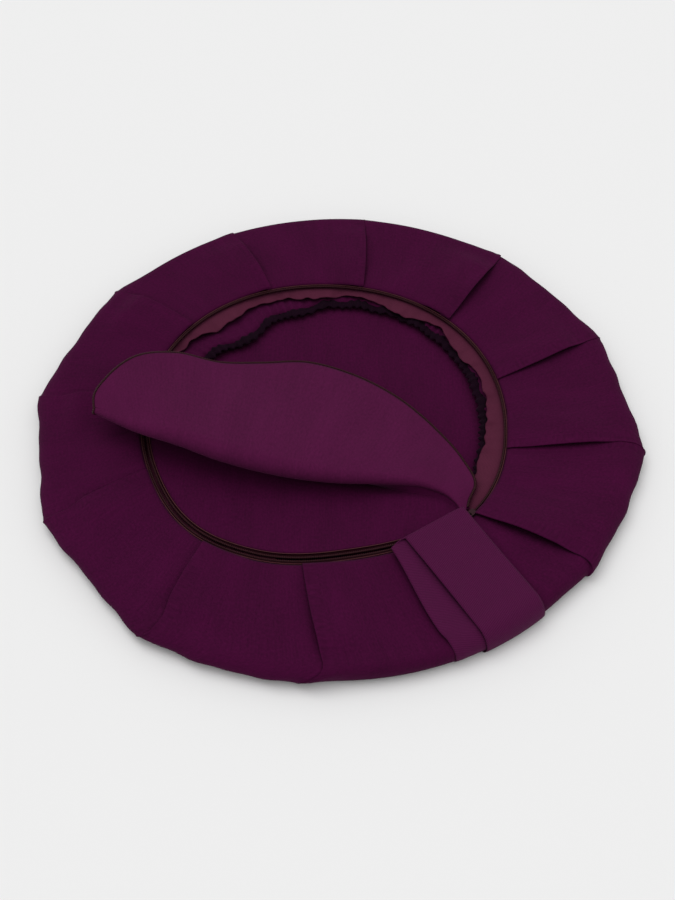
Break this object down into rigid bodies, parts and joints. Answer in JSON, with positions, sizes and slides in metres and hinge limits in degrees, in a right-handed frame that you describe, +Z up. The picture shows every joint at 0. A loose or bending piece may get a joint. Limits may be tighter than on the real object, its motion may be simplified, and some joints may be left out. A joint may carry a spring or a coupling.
{
  "type": "rhythmic gymnastics hoop in a fabric cover",
  "caption": "Round pleated fabric cover on a gymnastics hoop, with a circular zip, a part-open lid folded back and a webbing strap over the rim.",
  "frame": {"origin": "on the ground under the hoop's centre, on the underside of the back panel", "axes": "+Z up through the hoop's centre; -Y is the side nearest the viewer, with the strap towards +X and -Y"},
  "size_m": [0.6594, 0.6594, 0.071],
  "materials": {
    "cover_fabric": "matt brushed knit, deep plum",
    "lid_fabric": "matt brushed knit, plum",
    "zip_tape": "woven tape, dark plum",
    "facing_tape": "woven tape with a slight sheen, dusky pink brown",
    "zip_coil": "dark brown nylon coil",
    "elastic": "gathered elastic, almost black",
    "webbing": "twill webbing, plum",
    "hoop_plastic": "smooth off-white tube",
    "plug_plastic": "grey moulded plug",
    "zip_metal": "dark painted metal",
    "pin_steel": "plain steel pin"
  },
  "bodies": {
    "cover": {"pleated_ring": "cover_fabric", "back_panel": "cover_fabric", "hoop_channel_flap": "cover_fabric", "channel_elastic": "elastic", "zip_facing_strip": "facing_tape", "zip_tape_ring": "zip_tape", "zip_coil_ring": "zip_coil", "zip_start_stop": "zip_metal", "zip_end_stop_ring": "zip_metal", "lid_sewn_joint": "lid_fabric", "lid_panel_lower": "lid_fabric", "zip_coil_lid_lower": "zip_coil", "zip_tape_lid_lower": "zip_tape", "strap_rim_wrap": "webbing"},
    "hoop": {"hoop_tube": "hoop_plastic", "hoop_joint_plug": "plug_plastic", "hoop_joint_pin_a": "pin_steel", "hoop_joint_pin_b": "pin_steel"},
    "slider": {"zip_slider_body": "zip_metal"},
    "puller": {"zip_puller": "zip_metal"},
    "lid_return": {"lid_panel_return": "lid_fabric", "zip_coil_lid_return": "zip_coil", "zip_tape_lid_return": "zip_tape", "zip_end_stop_lid": "zip_metal"},
    "lid_flap": {"lid_panel_flap": "lid_fabric", "zip_coil_lid_flap": "zip_coil", "zip_tape_lid_flap": "zip_tape"},
    "strap": {"strap_loop": "webbing"}
  },
  "joints": [
    {"name": "hoop_turn", "type": "hinge", "parent": "cover", "child": "hoop", "pos_m": [0, 0, 0.0134], "axis": [0, 0, 1], "continuous": true},
    {"name": "zip_run", "type": "hinge", "parent": "cover", "child": "slider", "pos_m": [-0.012, 0.003, 0.018], "axis": [0, 0, 1], "range_deg": [-142, 200]},
    {"name": "puller_lift", "type": "hinge", "parent": "slider", "child": "puller", "pos_m": [0.13836, -0.12895, 0.0218], "axis": [0.7373, -0.6756, 0], "range_deg": [0, 85]},
    {"name": "lid_unfold", "type": "hinge", "parent": "cover", "child": "lid_return", "pos_m": [0.13546, -0.13212, 0.02], "axis": [-0.8767, 0.481, 0], "range_deg": [0, 156]},
    {"name": "lid_crest", "type": "hinge", "parent": "lid_return", "child": "lid_flap", "pos_m": [0.13624, -0.13069, 0.02365], "axis": [-0.9639, 0.2416, 0.1121], "range_deg": [-167, 0]},
    {"name": "strap_swing", "type": "hinge", "parent": "cover", "child": "strap", "pos_m": [0.17865, -0.27519, 0.0225], "axis": [0.7848, 0.6198, 0], "range_deg": [0, 150]}
  ],
  "couplings": [
    {"joint": "lid_crest", "follows": "lid_unfold", "ratio": -1.0705}
  ]
}
